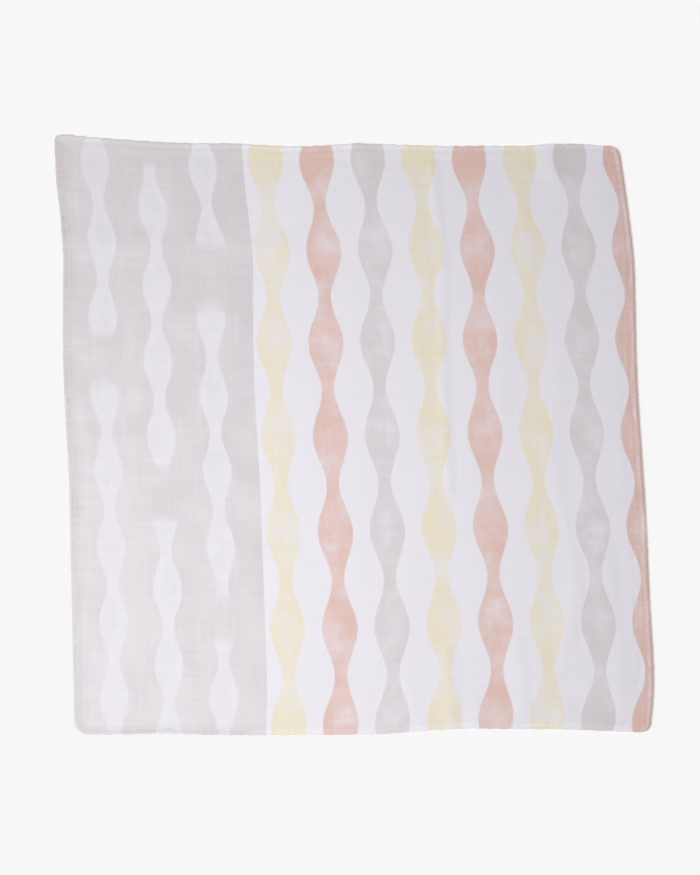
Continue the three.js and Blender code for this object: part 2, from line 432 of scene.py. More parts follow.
# %% Lines of the grid
HEM_LINES = [0, 0.1, 0.28, 0.62, 1.1, 1.6, 2.1, 2.45, 2.8, 3.15, 3.7, 4.4, 4.45, 5.0, 5.7, 6.6, 7.8]
FIELD_PITCH = 1.85
SHEET_SHARP = np.radians(50)


def grid_lines(length):
    """Hem lines at both ends, and even lines between, as near to the field's pitch as fits."""
    inner = HEM_LINES[-1]
    steps = round((length - 2 * inner) / FIELD_PITCH)
    middle = np.linspace(inner, length - inner, steps + 1)[1:-1]
    return np.concatenate([HEM_LINES, middle, length - np.array(HEM_LINES[::-1])])


def turned_back(place, length):
    """A place in the hem's flap, counted on past the fold: the flap shows the front's print."""
    place = np.where(place < HEM_WIDTH + FLAP_FACE / 2, -place, place)
    return np.where(place > length - HEM_WIDTH - FLAP_FACE / 2, 2 * length - place, place)


# %% Building the sheet
def cloth_sheet(front_material, back_material):
    """The closed sheet: the front grid, and the back grid that shares its outer points."""
    columns, rows = grid_lines(CLOTH_WIDTH), grid_lines(CLOTH_LENGTH)
    across, down = np.meshgrid(columns, rows)
    x, y = table_place(across, down)
    front, back = cloth_faces(across, down)
    on_rim = np.zeros(across.shape, bool)
    on_rim[[0, -1], :] = on_rim[:, [0, -1]] = True
    number = np.arange(across.size).reshape(across.shape)
    back_number = np.where(on_rim, number, 0)
    back_number[~on_rim] = across.size + np.arange((~on_rim).sum())
    points = np.concatenate([
        np.stack([x, y, front], axis=-1).reshape(-1, 3),
        np.stack([x, y, back], axis=-1)[~on_rim],
    ])
    front_quads = grid_quads(len(rows), len(columns))
    back_quads = front_quads[:, ::-1]
    faces = np.concatenate([front_quads, back_number.ravel()[back_quads]])
    front_uv = np.stack([across / CLOTH_WIDTH, down / CLOTH_LENGTH], axis=-1).reshape(-1, 2)
    back_uv = np.stack([
        turned_back(across, CLOTH_WIDTH) / CLOTH_WIDTH,
        turned_back(down, CLOTH_LENGTH) / CLOTH_LENGTH,
    ], axis=-1).reshape(-1, 2)
    corner_uv = np.concatenate([front_uv[front_quads], back_uv[back_quads]])
    face_material = np.repeat([0, 1], len(front_quads))
    print("sheet:", len(columns), "by", len(rows), "lines,", 2 * len(faces), "triangles,",
          "highest point", round(float(front.max()), 2), "mm")
    return make_piece("gauze_sheet", points, faces, corner_uv, [front_material, back_material],
                      face_material, SHEET_SHARP)


# %% [markdown]
# ## Finish: shader maths
#
# The finishes are worked out from numbers, so the nodes are written as sums. A `Wire` holds a
# node's output, and adding or multiplying wires adds the Math node that does it. Any other node
# comes from `Finish.node`.

# %% Wires and nodes
class Wire:
    """A number or colour that runs between nodes. Python's operators add Math nodes to it."""

    def __init__(self, finish, socket):
        self.finish = finish
        self.socket = socket

    def math(self, operation, *others):
        values = {place + 1: other for place, other in enumerate(others)}
        return self.finish.node("ShaderNodeMath", {"operation": operation}, {0: self, **values})

    def __rsub__(self, other):
        return self.finish.node("ShaderNodeMath", {"operation": "SUBTRACT"}, {0: other, 1: self})

    def __rtruediv__(self, other):
        return self.finish.node("ShaderNodeMath", {"operation": "DIVIDE"}, {0: other, 1: self})

    def __neg__(self):
        return self * -1.0

    def part(self, name):
        """The X, Y or Z of a vector."""
        return self.finish.node("ShaderNodeSeparateXYZ", {}, {0: self}, output=name)

    def wave(self, pitch, start=0.0):
        """cos(2 pi (value - start) / pitch)."""
        return ((self - start) * (TURN / pitch)).cos()

    def within(self, limit, softness):
        """1 under the limit and 0 over it, with a soft edge."""
        return 1 - self.rise(limit - softness, limit + softness)

    def bell(self, width):
        """exp(-(value / width)^2)."""
        return (-(self * self) / width**2).math("EXPONENT")

    def rise(self, low, high):
        """0 at low and under, 1 at high and over, and smooth between."""
        settings = {"interpolation_type": "SMOOTHSTEP"}
        return self.finish.node("ShaderNodeMapRange", settings, {0: self, 1: low, 2: high})


OPERATIONS = {
    "__add__": "ADD", "__radd__": "ADD", "__sub__": "SUBTRACT", "__mul__": "MULTIPLY",
    "__rmul__": "MULTIPLY", "__truediv__": "DIVIDE", "cos": "COSINE", "sin": "SINE",
    "abs": "ABSOLUTE", "floor": "FLOOR", "least": "MINIMUM", "most": "MAXIMUM",
    "below": "LESS_THAN",
}
for method, operation in OPERATIONS.items():
    setattr(Wire, method, partialmethod(Wire.math, operation))


def blend(share, first, second):
    """A number between two others: the first at share 0 and the second at share 1."""
    return (second - first) * share + first


class Finish:
    """A material under construction, with a place on the cloth where it needs one."""

    def __init__(self, name):
        self.material = bpy.data.materials.new(name)
        self.material.use_nodes = True
        self.tree = self.material.node_tree
        self.surface = self.tree.nodes["Principled BSDF"]

    def node(self, kind, settings=None, sockets=None, output=0):
        """Adds a node: its settings first, with a ramp's stops among them, then its sockets."""
        made = self.tree.nodes.new(kind)
        for key, value in (settings or {}).items():
            if key == "stops":
                self.set_stops(made.color_ramp, value)
            else:
                setattr(made, key, value)
        for key, value in (sockets or {}).items():
            self.feed(made.inputs[key], value)
        return Wire(self, made.outputs[output])

    def feed(self, socket, value):
        """Links a wire to a socket, or sets the socket's own value."""
        if isinstance(value, Wire):
            self.tree.links.new(value.socket, socket)
        else:
            socket.default_value = value

    @staticmethod
    def set_stops(ramp, stops):
        """Fills a ramp with equal steps of the given colours."""
        ramp.interpolation = "CONSTANT"
        while len(ramp.elements) < len(stops):
            ramp.elements.new(1)
        for number, colour in enumerate(stops):
            ramp.elements[number].position = number / len(stops)
            ramp.elements[number].color = (*colour, 1)

    def noise(self, name):
        """Smooth noise about 0 over the cloth, as its row in the table of noises says."""
        per_across, per_down, octaves, roughness, offset = NOISES[name]
        sockets = {0: self.place, 1: (offset, offset, 0), 3: (per_across, per_down, 1)}
        vector = self.node("ShaderNodeMapping", {}, sockets)
        sockets = {"Vector": vector, "Scale": 1.0, "Detail": octaves, "Roughness": roughness}
        return self.node("ShaderNodeTexNoise", {"noise_dimensions": "2D"}, sockets) - 0.5

    def mix(self, share, *ends):
        """A blend of two colours: the first at share 0 and the second at share 1."""
        first, second = ((*end, 1) if isinstance(end, tuple) else end for end in ends)
        sockets = {0: share, 6: first, 7: second}
        return self.node("ShaderNodeMix", {"data_type": "RGBA"}, sockets, output=2)

    def tinted(self, colour, ink):
        """Two colours or vectors multiplied, part by part."""
        return self.node("ShaderNodeVectorMath", {"operation": "MULTIPLY"}, {0: colour, 1: ink})

    def brightened(self, colour, factor):
        """A colour made lighter or darker all over by a number."""
        return self.node("ShaderNodeVectorMath", {"operation": "SCALE"}, {0: colour, "Scale": factor})

    def on_cloth(self):
        """Gives the finish its place on the cloth, in millimetres: across, down and both."""
        uv = self.node("ShaderNodeUVMap", {"uv_map": "cloth"})
        self.place = self.tinted(uv, (CLOTH_WIDTH, CLOTH_LENGTH, 1))
        self.across, self.down = self.place.part("X"), self.place.part("Y")
        return self

    def bump(self, height):
        """A normal from a height in millimetres."""
        return self.node("ShaderNodeBump", {}, {"Height": height, "Distance": MM, "Strength": 1.0})

    def dress(self, sockets):
        """Feeds the material's own surface, and hands the material over."""
        for key, value in sockets.items():
            self.feed(self.surface.inputs[key], value)
        return self.material


# %% The noises
THREAD_PITCH = 0.52

# Steps to a millimetre across and down, octaves, roughness, and an offset that keeps each apart
NOISES = {
    "pool side": (0.12, 0.12, 3, 0.5, 31),
    "pool end": (0.09, 0.09, 3, 0.5, 37),
    "ragged stripe": (0.3, 0.3, 3, 0.6, 0),
    "ragged chain": (0.3, 0.3, 4, 0.65, 7),
    "chain haze": (0.05, 0.05, 2, 0.5, 25),
    "watery chains": (0.11, 0.11, 4, 0.5, 15),
    "band cloud": (0.04, 0.04, 3, 0.5, 9),
    "ink cloud": (0.045, 0.045, 6, 0.6, 2),
    "grain": (0.6, 0.6, 3, 0.65, 21),
    "rubbed ink": (0.4, 0.06, 3, 0.5, 71),
    "streaks": (1.1, 0.06, 3, 0.5, 51),
    "warp slub": (0.42, 0.03, 2, 0.5, 0),
    "weft slub": (0.03, 0.42, 2, 0.5, 3),
    "warp tone": (1 / THREAD_PITCH, 0.015 / THREAD_PITCH, 0, 0.5, 61),
    "weft tone": (0.015 / THREAD_PITCH, 1 / THREAD_PITCH, 0, 0.5, 67),
    "thread wander": (0.05, 0.05, 2, 0.5, 11),
    "crepe": (0.22, 0.22, 4, 0.6, 5),
    "side ticks": (0.25, 0.8, 3, 0.5, 41),
    "end ticks": (0.8, 0.25, 3, 0.5, 43),
    "hem drift": (0.035, 0.035, 1, 0.5, 47),
    "label": (0.5, 0.5, 3, 0.5, 0),
}

# %% [markdown]
# ## Finish: the print
#
# The cloth is printed with swelling and narrowing stripes, an old and common figure, in yellow,
# pink and warm grey on a bluish white, and its left third is a greige band with the same figure
# left white in narrow chains. A stripe's half width is a steady part plus a cosine of the place
# down the cloth. Soft noise chooses between the full ink and a paler one, because the ink soaked
# in unevenly. All of it is in the cloth's own millimetres, so it follows the cloth's tugs.

# %% Inks, as shares of the light that the bare cloth returns
BARE_CLOTH = (0.841, 0.815, 0.876)
NO_INK = (1, 1, 1)
FULL_INKS = {"yellow": (1.0, 0.945, 0.69), "pink": (0.913, 0.662, 0.56), "grey": (0.84, 0.803, 0.775)}
PALE_INKS = {"yellow": (1.0, 0.99, 0.95), "pink": (0.975, 0.88, 0.845), "grey": (0.945, 0.93, 0.92)}
HEM_DENSITY = 1.04
HEM_INKS = {name: tuple(np.array(ink) ** HEM_DENSITY) for name, ink in FULL_INKS.items()}
STRIPE_ORDER = ["yellow", "pink", "grey", "yellow", "pink", "yellow", "grey", "pink"]
GREIGE = (0.822, 0.795, 0.769)
PALE_GREIGE = (0.888, 0.868, 0.841)
LEFT_CHAIN = (0.915, 0.925, 0.915)
RIGHT_CHAIN = (0.975, 0.977, 0.98)

# %% Places of the stripes, in millimetres
STRIPE_START = 125.5
STRIPE_PITCH = 30.42
STRIPE_BELLY = 8.75
STRIPE_PERIOD = 55.8
STRIPE_HALF = 6.95
STRIPE_SWELL = 3.35
STRIPE_RAGGED = 0.8
EDGE_SOFTNESS = 0.48

# The print was stretched a little with the cloth: along it, askew, and from side to side
STRETCH_SKEW = -0.65
STRETCH_MIDDLE = 3.6
STRETCH_TILT = 0.007
STRETCH_TILT_FROM = 230.0
SWAY = 0.33
SWAY_PITCH = 120.0
SWAY_START = 28.3
LEAN = 1.0
BAND_LEAN = 0.3
FAR_TUG = 2.5
FAR_TUG_REACH = 17.5
BULGE = 0.8
BULGE_PITCH = 440.0
BULGE_MIDDLE = 226.0

# A pool's half size, how far noise pulls it, and how far from the middle chance puts it
POOL = {
    "side": {"half": 5.4, "pull": 16.0, "spread": 5.0, "start": 1.2},
    "end": {"half": 9.0, "pull": 28.0, "spread": 15.0, "start": 6.0},
}
POOL_LEAST = 0.25
POOL_CHANCE = 1.1

# %% Places of the white chains in the band, in millimetres
BAND_EDGE = 113.1
BAND_SOFTNESS = 0.35
CHAIN_START = 23.8
CHAIN_PITCH = 32.3
CHAIN_PERIOD = 44.85
CHAIN_HALF = 5.9
CHAIN_SWELL = 2.6
CHAIN_RAGGED = 0.9
CHAIN_CRISP = 0.4
CHAIN_HAZE = 0.9
GAP_RAGGED = 3.0
GAP_ROUND = 0.3
GAP_FADE = (-3.5, 5.0)
BELLY_SPREAD = 0.7
BELLY_START = 0.4
BELLY_WATER = 0.09
CHAIN_WATER = 0.25

# The first belly of each chain, and where the chain breaks off as (middle, length) of each gap
CHAINS = [
    (15.7, [(130.0, 25.0)]),
    (40.2, [(3.0, 18.0), (208.0, 27.0)]),
    (14.6, [(79.0, 33.0), (281.0, 23.0)]),
]


# %% Where the print lies
def down_share(down):
    """-1 at the far edge, 0 half way down the cloth, and 1 at the near edge."""
    return down / (CLOTH_LENGTH / 2) - 1


def pale_pool(finish, off, along, number, belly):
    """A soft paler pool inside each swelling, as ink leaves when it dries from the edges in.

    It is exp of minus the squared distance to the pool's middle, in shares of its two radii.
    The middle and the strength come from random numbers that stripe and swelling pick, and
    noise pulls the distances about, so that no pool keeps a plain round outline.
    """
    key = finish.node("ShaderNodeCombineXYZ", {}, {0: number, 1: belly})
    chance = finish.node("ShaderNodeTexWhiteNoise", {"noise_dimensions": "2D"}, {0: key}, output="Color")

    def radii(name, distance, picked):
        size = POOL[name]
        pulled = distance + finish.noise("pool " + name) * size["pull"]
        return (pulled - (picked * size["spread"] - size["start"])) / size["half"]

    side, end = radii("side", off, chance.part("X")), radii("end", along, chance.part("Y"))
    strength = chance.part("Z") * chance.part("Z") * POOL_CHANCE + POOL_LEAST
    return (-(side * side + end * end)).math("EXPONENT") * strength


def sway(down):
    """How far the whole print sways to the right, down the cloth."""
    return SWAY * down.wave(SWAY_PITCH, SWAY_START)


def tugged_lean(across, down):
    """How far the stripes are carried to the right at a place: a sway, a bulge and the far tug."""
    bulge = BULGE * across.wave(BULGE_PITCH, BULGE_MIDDLE)
    return sway(down) + bulge + FAR_TUG * (down * (-1 / FAR_TUG_REACH)).math("EXPONENT")


def stripe_masks(finish):
    """Ink share of a stripe at each place, that stripe's place in a ramp, and its pale pools."""
    across, down = finish.across, finish.down
    t = down_share(down)
    stretched = (
        down + STRETCH_SKEW * (t * np.pi).sin() + STRETCH_MIDDLE * (t * (np.pi / 2)).cos()
        + STRETCH_TILT * (across - STRETCH_TILT_FROM)
    )
    level = across - tugged_lean(across, down) - LEAN * t - STRIPE_START
    number = (level / STRIPE_PITCH + 0.5).floor().most(0.0).least(len(STRIPE_ORDER) - 1.0)
    off = level - number * STRIPE_PITCH
    turns = (stretched - STRIPE_BELLY) / STRIPE_PERIOD
    belly = (turns + 0.5).floor()
    pool = pale_pool(finish, off, (turns - belly) * STRIPE_PERIOD, number, belly)
    ragged = finish.noise("ragged stripe") * STRIPE_RAGGED
    inside = STRIPE_HALF + STRIPE_SWELL * turns.wave(1.0) + ragged - off.abs()
    ink = inside.rise(-EDGE_SOFTNESS, EDGE_SOFTNESS)
    return ink, (number + 0.5) / len(STRIPE_ORDER), pool


def chain_mask(finish):
    """How white the chains of the band are: three columns of bellies and necks, with soft gaps.

    The edge of a chain is crisp here and hazy there, and each belly is a little watery inside.
    """
    down = finish.down
    ragged = finish.noise("ragged chain")
    haze = finish.noise("chain haze").rise(-0.2, 0.2) * CHAIN_HAZE + CHAIN_CRISP
    drawn = finish.across - BAND_LEAN * down_share(down) - sway(down)
    chains = 0.0
    for number, (first_belly, gaps) in enumerate(CHAINS):
        off = (drawn - (CHAIN_START + number * CHAIN_PITCH)).abs()
        swell = down.wave(CHAIN_PERIOD, first_belly)
        width = CHAIN_HALF + CHAIN_SWELL * swell + ragged * CHAIN_RAGGED
        shown = 1.0
        for middle, length in gaps:
            past = (down - middle).abs() - length / 2 + ragged * GAP_RAGGED - off * GAP_ROUND
            shown = shown * past.rise(*GAP_FADE)
        watery = (off / CHAIN_HALF).bell(BELLY_SPREAD) * (swell + BELLY_START).most(0.0) * BELLY_WATER
        chains = ((width - off) / haze).rise(-1.0, 1.0) * shown * (1 - watery) + chains
    return chains


# %% [markdown]
# ## Finish: the weave
#
# Seen close, gauze is plain weave with gaps between uneven threads: here and there one is
# thicker for a few centimetres. There would be far too many to model, so the weave is in the
# colour and the bump. Noise stretched along each thread direction gives the thick places, and
# two crossed sines give the weave, whose gaps are painted darker in the colour as painted shade.

# %% The weave
THREAD_RISE = 0.02
THREAD_WANDER = 5.0
THREAD_SHADE = 0.12
THREAD_TONE = 0.03
MEAN_CROSSING = (2 / np.pi) ** 2
SLUB_RISE = 0.013
CREPE_RISE = 0.08


def weave(finish):
    """The height of the threads in millimetres, how thick they are, and how light.

    The size of sin(across) sin(down), each turning once in two threads, is 1 where a warp and a
    weft thread cross and 0 in the gaps, and the colour is painted darker in the gaps as painted
    shade. The threads wander a little, no two are of one shade, and their long thick places, the
    slubs, come from noise stretched along each direction.
    """
    slub = finish.noise("warp slub") + finish.noise("weft slub")
    wander = finish.noise("thread wander") * THREAD_WANDER
    turn = np.pi / THREAD_PITCH
    crossing = ((finish.across + wander) * turn).sin() * ((finish.down + wander) * turn).sin()
    crossing = crossing.abs()
    tone = finish.noise("warp tone") + finish.noise("weft tone")
    height = crossing * THREAD_RISE + slub * SLUB_RISE + finish.noise("crepe") * CREPE_RISE
    return height, slub, (crossing - MEAN_CROSSING) * THREAD_SHADE + tone * THREAD_TONE


# %% [markdown]
# ## Finish: the hem
#
# Three layers lie on each other in the hem, so its ink is denser and its turned-in edge is a dark
# line. Over this the hem carries painted light and shade: a paler seam as a painted highlight, a
# dark painted-shade line beside it, and a lighter or darker outer edge. How strong each is depends
# on the side, as the light comes from the near left.

# %% The hem's marks
STITCH_PITCH = 2.3
LABEL_START = (0.6, 1.4)
LABEL_SOFTNESS = 0.5

# Shares of light gained or lost, and of dense ink: left, right, far, near, near over the band.
# The rim, outer, line and seam rows are painted light and shade; fold and stack are the hem's tone
HEM_SIDES = {
    "rim": (0.01, -0.14, 0.05, 0.0, 0.0),
    "outer": (0.0, 0.02, 0.05, 0.055, 0.0),
    "line": (-0.06, 0.02, 0.0, -0.045, -0.09),
    "seam": (0.01, 0.06, 0.025, 0.035, 0.0),
    "fold": (-0.02, -0.03, -0.015, -0.01, -0.01),
    "stack": (-0.045, 0.01, 0.01, 0.0, -0.04),
    "dense": (1.0, 0.15, 0.4, 0.5, 1.0),
}
BAND_FADE = (BAND_EDGE - 16.0, BAND_EDGE)
RIM_FADE = (0.4, 2.2)
OUTER_FADE = (2.6, 4.2)
STACK_FADE = (HEM_WIDTH, HEM_WIDTH + 1.6)
LAYER_SOFTNESS = 1.2
LINE_INSET = 1.75
SHINE_INSET = 2.6
LINE_REACH = 0.7
FOLD_REACH = 1.0
LINE_DRIFT = 1.6
LINE_TICKS = -3.0
SHINE_TICKS = 5.0
STACK_TICKS = 0.09


def label_share(across, down):
    """1 over the label and 0 past it, with a soft edge, from the hem's fold to the label's end."""
    in_width = (across - LABEL_ACROSS).within(LABEL_WIDTH / 2, LABEL_SOFTNESS)
    in_length = (down - LABEL_DOWN).abs().within(LABEL_LENGTH / 2, LABEL_SOFTNESS)
    return across.rise(*LABEL_START) * in_width * in_length


def hem_marks(finish):
    """What the hem does to the surface: its dimples, its shade, where it is and its dense ink.

    A dimple is a bell across the seam times a cosine along it. The shade is 1 in the field. In
    the hem it changes with the inset: an outer share, a dark line and the paler seam, which are
    painted light and shade as the lamp falls on each side, and a dark line at the turned-in edge,
    which is the hem's own tone. It flickers with painted shade between the puckers that the
    stitches draw up, from noise that is fine along the edge and long across it. The inset is below
    0 on the back's flap.
    """
    across, down = finish.across, finish.down
    side_inset = across.least(CLOTH_WIDTH - across)
    end_inset = down.least(CLOTH_LENGTH - down)
    on_end = end_inset.below(side_inset)
    on_band = 1 - across.rise(*BAND_FADE)

    def by_side(name):
        left, right, far, near, near_band = HEM_SIDES[name]
        sideways = blend(across.below(CLOTH_WIDTH / 2), right, left)
        endways = blend(down.below(CLOTH_LENGTH / 2), blend(on_band, near, near_band), far)
        return blend(on_end, sideways, endways)

    inset = side_inset.least(end_inset)
    off_edge = inset.abs()
    ripple = blend(on_end, down, across).wave(STITCH_PITCH) * 0.5 + 0.5
    dimple = (off_edge - SEAM_INSET).bell(1.0) * ripple
    pucker_painted_shade = blend(on_end, finish.noise("side ticks"), finish.noise("end ticks"))
    drifted = off_edge - finish.noise("hem drift") * LINE_DRIFT
    # Painted light and shade: rim, outer, line and seam follow the lamp on each side, and the flicker
    # from the side and end ticks noise is painted shade between the stitches' puckers. Fold and stack
    # are the hem's own tone.
    parts = [
        (1 - off_edge.rise(*RIM_FADE)) * by_side("rim"),
        (1 - off_edge.rise(*OUTER_FADE)) * by_side("outer"),
        (drifted - LINE_INSET).bell(LINE_REACH) * by_side("line") * (1 + pucker_painted_shade * LINE_TICKS),
        (drifted - SHINE_INSET).bell(LINE_REACH) * by_side("seam") * (1 + pucker_painted_shade * SHINE_TICKS),
        (off_edge - HEM_WIDTH).bell(FOLD_REACH) * by_side("fold"),
        (1 - off_edge.rise(*STACK_FADE)) * (by_side("stack") + pucker_painted_shade * STACK_TICKS),
    ]
    layered = inset.within(HEM_WIDTH, LAYER_SOFTNESS)
    return dimple, 1 + sum(parts), layered, layered * by_side("dense")


# %% The print in its inks
# How much each cause thins the stripes' ink, and the sums at which it is full and palest
THINNED = {
    "everywhere": 0.1, "pool": 0.8, "cloud": 3.0, "grain": 0.9, "slub": 0.15,
    "right edge": -0.3, "far edge": -0.8,
}
THINNED_RANGE = (-0.6, 1.5)
DEEP_RIGHT = (CLOTH_WIDTH - 20.0, CLOTH_WIDTH - 6.0)
DEEP_FAR = (8.0, 24.0)
WORN_INSET = 2.8
WORN_REACH = 1.5
WORN_MOST = 0.75
BAND_SLUB = 0.25
BAND_PALER = 0.175


def stripe_print(finish, slub, grain, dense_share):
    """The stripes' share of ink, and the ink: pale in pools and clouds, worn at the right hem."""
    stripe, kind, pool = stripe_masks(finish)
    full, light, dense = (
        finish.node("ShaderNodeValToRGB", {"stops": [inks[ink] for ink in STRIPE_ORDER]}, {0: kind})
        for inks in (FULL_INKS, PALE_INKS, HEM_INKS)
    )
    causes = {
        "everywhere": 1, "pool": pool, "cloud": finish.noise("ink cloud"), "grain": grain,
        "slub": slub, "right edge": finish.across.rise(*DEEP_RIGHT),
        "far edge": 1 - finish.down.rise(*DEEP_FAR),
    }
    pale = sum(THINNED[name] * cause for name, cause in causes.items()).rise(*THINNED_RANGE)
    rubbed = finish.noise("rubbed ink").rise(-0.15, 0.2) * WORN_MOST
    worn = (finish.across - (CLOTH_WIDTH - WORN_INSET)).bell(WORN_REACH) * rubbed
    watered = finish.mix(pale.most(worn), full, light)
    return stripe, finish.mix(dense_share * (1 - worn), watered, dense)


def band_print(finish, slub):
    """Where the band is, its share of ink, that ink, and the white of its chains."""
    t = down_share(finish.down)
    cloudy = finish.noise("band cloud") + slub * BAND_SLUB + t * BAND_PALER
    greige = finish.mix(cloudy.rise(-0.3, 0.3), GREIGE, PALE_GREIGE)
    in_band = (finish.across - BAND_LEAN * t).within(BAND_EDGE, BAND_SOFTNESS)
    watery = finish.noise("watery chains").rise(-0.2, 0.25) * CHAIN_WATER
    share = in_band * (1 - chain_mask(finish) * (1 - watery))
    return in_band, share, greige, finish.mix(finish.across / BAND_EDGE, LEFT_CHAIN, RIGHT_CHAIN)


# %% The gauze's two finishes
FRONT_PRINT = 1.0
BACK_PRINT = 0.62
LABEL_SHOW = 0.8
LABEL_TINT = (0.832, 0.84, 0.835)
DIMPLE_DEPTH = 0.03
SLUB_SHADE = 0.036
GRAIN_SHADE = 0.012
DIMPLE_SHADE = 0.01
RIGHT_DARKENING_FROM = (CLOTH_WIDTH - 14.0, CLOTH_WIDTH - 6.0)
RIGHT_EDGE_DARKENING = 0.05
EDGE_STREAKS = 0.22


def gauze_finish(name, field_print):
    """The printed cloth. On the back the ink shows through, but the hem's flap is full print."""
    finish = Finish(name).on_cloth()
    height, slub, threads = weave(finish)
    grain = finish.noise("grain")
    dimple, hem_tone_and_painted_light, hem, dense_share = hem_marks(finish)
    stripe, stripe_ink = stripe_print(finish, slub, grain, dense_share)
    in_band, band_share, greige, chain_white = band_print(finish, slub)

    strength = blend(hem, field_print, FRONT_PRINT)
    inked = finish.mix(in_band * strength, NO_INK, chain_white)
    inked = finish.mix(stripe * (1 - in_band) * strength, inked, stripe_ink)
    inked = finish.mix(band_share * strength, inked, greige)
    over_label = label_share(finish.across, finish.down) * LABEL_SHOW
    inked = finish.mix(over_label, inked, LABEL_TINT)

    # The cloth is darker towards the right edge, in streaks
    streaks = finish.noise("streaks") * EDGE_STREAKS
    right_edge_darkening = finish.across.rise(*RIGHT_DARKENING_FROM) * (RIGHT_EDGE_DARKENING + streaks)
    # The weave's gaps and the seam's dimples are painted darker here, as painted shade; the slubs and
    # the grain are the threads' own tone
    tone_and_painted_shade = threads + slub * SLUB_SHADE + grain * GRAIN_SHADE - dimple * DIMPLE_SHADE
    shade = (1 + tone_and_painted_shade - right_edge_darkening) * hem_tone_and_painted_light
    return finish.dress({
        "Base Color": finish.brightened(finish.tinted(BARE_CLOTH, inked), shade),
        "Normal": finish.bump(height - dimple * DIMPLE_DEPTH),
        "Roughness": 0.92, "Specular IOR Level": 0.18, "Sheen Weight": 0.12, "Sheen Roughness": 0.5,
    })


# %% The sheet in its finishes
front_finish = gauze_finish("printed_gauze_front", FRONT_PRINT)
back_finish = gauze_finish("printed_gauze_back", BACK_PRINT)
sheet = cloth_sheet(front_finish, back_finish)
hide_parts("cloth")
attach(sheet, "root")

# %% [markdown]
# ## The stitches
#
# A line of short stitches holds the hem, seen on both faces. Each is a length of thread that
# comes up out of the cloth, lies over it and goes down again. There are about twelve hundred,
# so all are worked out at once as one array and joined in one mesh, each a spindle of six sides
# and five rings between two points.

# %% Spindles of thread
THREAD_RADIUS = 0.14
STITCH_LENGTH = 1.6
RINGS = 5
SIDES = 6
RING_REACH = 0.86
END_DIP = 1.7
LOOSENESS = (0.1, 1.0)
LOOSENESS_SEED = 7
PLY_TURNS = 5.0
PLY_RISE = 0.03
# The thread's two tones: darker in the groove between its plies, as painted shade, and lighter on the
# crest
THREAD_DARK = (0.72, 0.70, 0.74)
THREAD_LIGHT = (0.83, 0.81, 0.86)
THREAD_INK = (0.74, 0.54, 0.51)
SOAKED_FROM = (CLOTH_WIDTH / 2 - 9.0, CLOTH_WIDTH / 2 - 6.0)
SOAKED_MOST = 0.75


def seam_places():
    """(across, down) of the middle of each stitch, and the direction that it runs in."""
    places, directions = [], []
    for length, width, sideways in (
        (CLOTH_WIDTH, CLOTH_LENGTH, False), (CLOTH_LENGTH, CLOTH_WIDTH, True),
    ):
        count = int((length - 2 * SEAM_INSET) / STITCH_PITCH)
        along = (length - (count - 1) * STITCH_PITCH) / 2 + STITCH_PITCH * np.arange(count)
        for inset in (SEAM_INSET, width - SEAM_INSET):
            place = np.stack([along, np.full(count, inset)], axis=-1)
            direction = np.tile([1.0, 0.0], (count, 1))
            places.append(place[:, ::-1] if sideways else place)
            directions.append(direction[:, ::-1] if sideways else direction)
    return np.concatenate(places), np.concatenate(directions)


def spindle_faces(count):
    """Faces of `count` spindles: a fan at each pointed end, and quads between the rings."""
    side = np.arange(SIDES)
    following = (side + 1) % SIDES
    start_point, end_point = RINGS * SIDES, RINGS * SIDES + 1
    last = (RINGS - 1) * SIDES
    fans = [(start_point, b, a) for a, b in zip(side, following)]
    fans += [(end_point, last + a, last + b) for a, b in zip(side, following)]
    quads = [
        (ring * SIDES + a, ring * SIDES + b, (ring + 1) * SIDES + b, (ring + 1) * SIDES + a)
        for ring in range(RINGS - 1) for a, b in zip(side, following)
    ]
    points = RINGS * SIDES + 2
    shifts = np.arange(count)[:, None, None] * points
    fans = (np.array(fans) + shifts).reshape(-1, 3)
    quads = (np.array(quads) + shifts).reshape(-1, 4)
    return fans.tolist() + quads.tolist()


def stitch_points(on_front):
    """Points of all the stitches of one face, as stitches by points by x, y, z in millimetres.

    Along a stitch, s goes from -1 to 1. Its middle line stands off the face by the thread's
    radius times its own looseness less the dip of its ends times s^2, so that both ends go
    under. Its radius is the thread's times the square root of 1 - s^4. How loose each stitch is
    comes from seeded random numbers. A stitch on the back is the same, upside down.
    """
    places, directions = seam_places()
    loose = np.random.default_rng(LOOSENESS_SEED).uniform(*LOOSENESS, (len(places), 1))
    reach = np.array([-1.0, *np.linspace(-RING_REACH, RING_REACH, RINGS), 1.0])
    line = places[:, None, :] + directions[:, None, :] * (reach * STITCH_LENGTH / 2)[:, None]
    x, y = table_place(line[..., 0], line[..., 1])
    front, back = cloth_faces(line[..., 0], line[..., 1])
    stand = THREAD_RADIUS * (loose - END_DIP * reach**2)
    z = front + stand if on_front else np.maximum(back - stand, THREAD_RADIUS)
    middle = np.stack([x, y, z], axis=-1)
    forward = middle[:, -1] - middle[:, 0]
    forward /= np.linalg.norm(forward, axis=-1, keepdims=True)
    sideways = np.stack([-forward[:, 1], forward[:, 0], 0 * forward[:, 0]], axis=-1)
    upward = np.cross(forward, sideways)
    angle = TURN * np.arange(SIDES) / SIDES
    radius = (THREAD_RADIUS * np.sqrt(1 - reach[1:-1] ** 4))[:, None, None]
    spoke = (
        sideways[:, None, None, :] * np.cos(angle)[:, None]
        + upward[:, None, None, :] * np.sin(angle)[:, None]
    )
    rings = middle[:, 1:-1, None, :] + radius * spoke
    rings = rings.reshape(len(places), RINGS * SIDES, 3)
    return np.concatenate([rings, middle[:, :1], middle[:, -1:]], axis=1)


